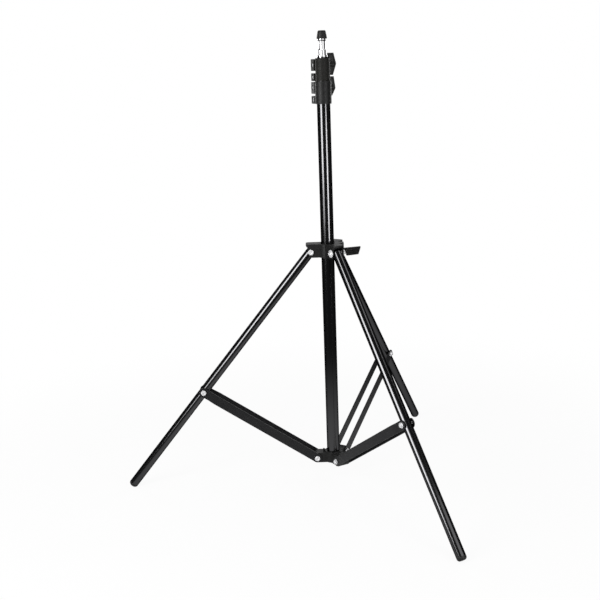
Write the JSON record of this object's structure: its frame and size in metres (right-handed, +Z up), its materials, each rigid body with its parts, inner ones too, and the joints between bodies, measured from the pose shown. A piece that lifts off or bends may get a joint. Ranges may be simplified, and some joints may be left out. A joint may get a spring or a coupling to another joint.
{
  "type": "telescopic lighting stand",
  "caption": "Folding tripod lighting stand: telescoping column with clamp-knob collars, sliding hub with strut-braced legs, rubber feet and a capped chrome spigot.",
  "frame": {"origin": "on the floor under the column axis, with the feet standing on z = 0", "axes": "+Z up along the column; the left leg points along -X, the other two at +60 and -60 degrees from +X"},
  "size_m": [0.6287, 0.723, 0.8847],
  "materials": {
    "column_tube": "glossy black anodised tube",
    "leg_tube": "glossy black anodised tube",
    "moulded_black": "satin moulded glass-filled nylon, fine grain",
    "knob_black": "satin moulded grip",
    "nylon": "plain nylon",
    "strut_steel": "satin black painted steel strip",
    "zinc_steel": "bright zinc plate",
    "black_steel": "black oxide",
    "bright_chrome": "polished chrome plate",
    "cap_black": "soft black cap",
    "foot_rubber": "matte moulded rubber"
  },
  "bodies": {
    "column": {"lower_tube": "column_tube", "lower_tube_plug": "nylon", "bottom_collar": "moulded_black", "bottom_collar_post": "black_steel", "lower_lock_collar": "moulded_black", "lower_lock_bush": "nylon", "lower_clamp_screw": "zinc_steel", "lower_clamp_nut": "zinc_steel", "lower_lock_bolt": "zinc_steel", "base_pivot_bolts": "zinc_steel", "base_pivot_nuts": "zinc_steel"},
    "hub": {"hub_body": "moulded_black", "hub_bush": "nylon", "brake_pad": "nylon", "hub_pivot_bolts": "zinc_steel", "hub_pivot_nuts": "zinc_steel"},
    "hub_clamp": {"hub_knob": "knob_black", "hub_knob_screw": "zinc_steel", "hub_knob_nut": "zinc_steel"},
    "lower_knob": {"lower_lock_knob": "knob_black", "lower_knob_insert": "zinc_steel"},
    "middle_section": {"middle_tube": "column_tube", "middle_tube_guide": "nylon", "upper_lock_collar": "moulded_black", "upper_lock_bush": "nylon", "upper_clamp_screw": "zinc_steel", "upper_clamp_nut": "zinc_steel", "upper_lock_bolt": "zinc_steel"},
    "upper_knob": {"upper_lock_knob": "knob_black", "upper_knob_insert": "zinc_steel"},
    "top_section": {"top_tube": "column_tube", "top_tube_guide": "nylon", "spigot": "bright_chrome", "spigot_pin": "bright_chrome"},
    "cap": {"spigot_cap": "cap_black"},
    "left_leg": {"left_leg_tube": "leg_tube", "left_leg_plug": "nylon", "left_leg_sleeves": "zinc_steel", "left_foot": "foot_rubber"},
    "left_strut": {"left_strut_strip_1": "strut_steel", "left_strut_strip_2": "strut_steel", "left_strut_bolt": "zinc_steel", "left_strut_nut": "zinc_steel"},
    "front_leg": {"front_leg_tube": "leg_tube", "front_leg_plug": "nylon", "front_leg_sleeves": "zinc_steel", "front_foot": "foot_rubber"},
    "front_strut": {"front_strut_strip_1": "strut_steel", "front_strut_strip_2": "strut_steel", "front_strut_bolt": "zinc_steel", "front_strut_nut": "zinc_steel"},
    "rear_leg": {"rear_leg_tube": "leg_tube", "rear_leg_plug": "nylon", "rear_leg_sleeves": "zinc_steel", "rear_foot": "foot_rubber"},
    "rear_strut": {"rear_strut_strip_1": "strut_steel", "rear_strut_strip_2": "strut_steel", "rear_strut_bolt": "zinc_steel", "rear_strut_nut": "zinc_steel"}
  },
  "joints": [
    {"name": "hub_slide", "type": "slide", "parent": "column", "child": "hub", "axis": [0, 0, 1], "range_m": [0, 0.1974]},
    {"name": "hub_clamp_turn", "type": "hinge", "parent": "hub", "child": "hub_clamp", "pos_m": [0.04, 0, 0.4715], "axis": [1, 0, 0], "range_deg": [0, 540]},
    {"name": "middle_slide", "type": "slide", "parent": "column", "child": "middle_section", "axis": [0, 0, 1], "range_m": [0, 0.58]},
    {"name": "lower_knob_turn", "type": "hinge", "parent": "column", "child": "lower_knob", "pos_m": [-0.00667, 0.01832, 0.7818], "axis": [0.9397, 0.342, 0], "range_deg": [0, 540]},
    {"name": "top_slide", "type": "slide", "parent": "middle_section", "child": "top_section", "axis": [0, 0, 1], "range_m": [0, 0.58]},
    {"name": "upper_knob_turn", "type": "hinge", "parent": "middle_section", "child": "upper_knob", "pos_m": [-0.00616, 0.01691, 0.8233], "axis": [0.9397, 0.342, 0], "range_deg": [0, 540]},
    {"name": "cap_pull", "type": "slide", "parent": "top_section", "child": "cap", "axis": [0, 0, 1], "range_m": [0, 0.12]},
    {"name": "left_leg_fold", "type": "hinge", "parent": "hub", "child": "left_leg", "pos_m": [-0.0325, 0, 0.4747], "axis": [0, -1, 0], "range_deg": [0, 38.8]},
    {"name": "left_strut_fold", "type": "hinge", "parent": "column", "child": "left_strut", "pos_m": [-0.0325, 0, 0.0535], "axis": [0, 1, 0], "range_deg": [0, 56.9]},
    {"name": "front_leg_fold", "type": "hinge", "parent": "hub", "child": "front_leg", "pos_m": [0.01625, -0.02815, 0.4747], "axis": [0.866, 0.5, 0], "range_deg": [0, 38.8]},
    {"name": "front_strut_fold", "type": "hinge", "parent": "column", "child": "front_strut", "pos_m": [0.01625, -0.02815, 0.0535], "axis": [-0.866, -0.5, 0], "range_deg": [0, 56.9]},
    {"name": "rear_leg_fold", "type": "hinge", "parent": "hub", "child": "rear_leg", "pos_m": [0.01625, 0.02815, 0.4747], "axis": [-0.866, 0.5, 0], "range_deg": [0, 38.8]},
    {"name": "rear_strut_fold", "type": "hinge", "parent": "column", "child": "rear_strut", "pos_m": [0.01625, 0.02815, 0.0535], "axis": [0.866, -0.5, 0], "range_deg": [0, 56.9]}
  ],
  "couplings": [
    {"joint": "left_leg_fold", "follows": "hub_slide", "rad_per_m": 3.4238},
    {"joint": "left_strut_fold", "follows": "hub_slide", "rad_per_m": 5.0184},
    {"joint": "front_leg_fold", "follows": "hub_slide", "rad_per_m": 3.4238},
    {"joint": "front_strut_fold", "follows": "hub_slide", "rad_per_m": 5.0184},
    {"joint": "rear_leg_fold", "follows": "hub_slide", "rad_per_m": 3.4238},
    {"joint": "rear_strut_fold", "follows": "hub_slide", "rad_per_m": 5.0184}
  ]
}
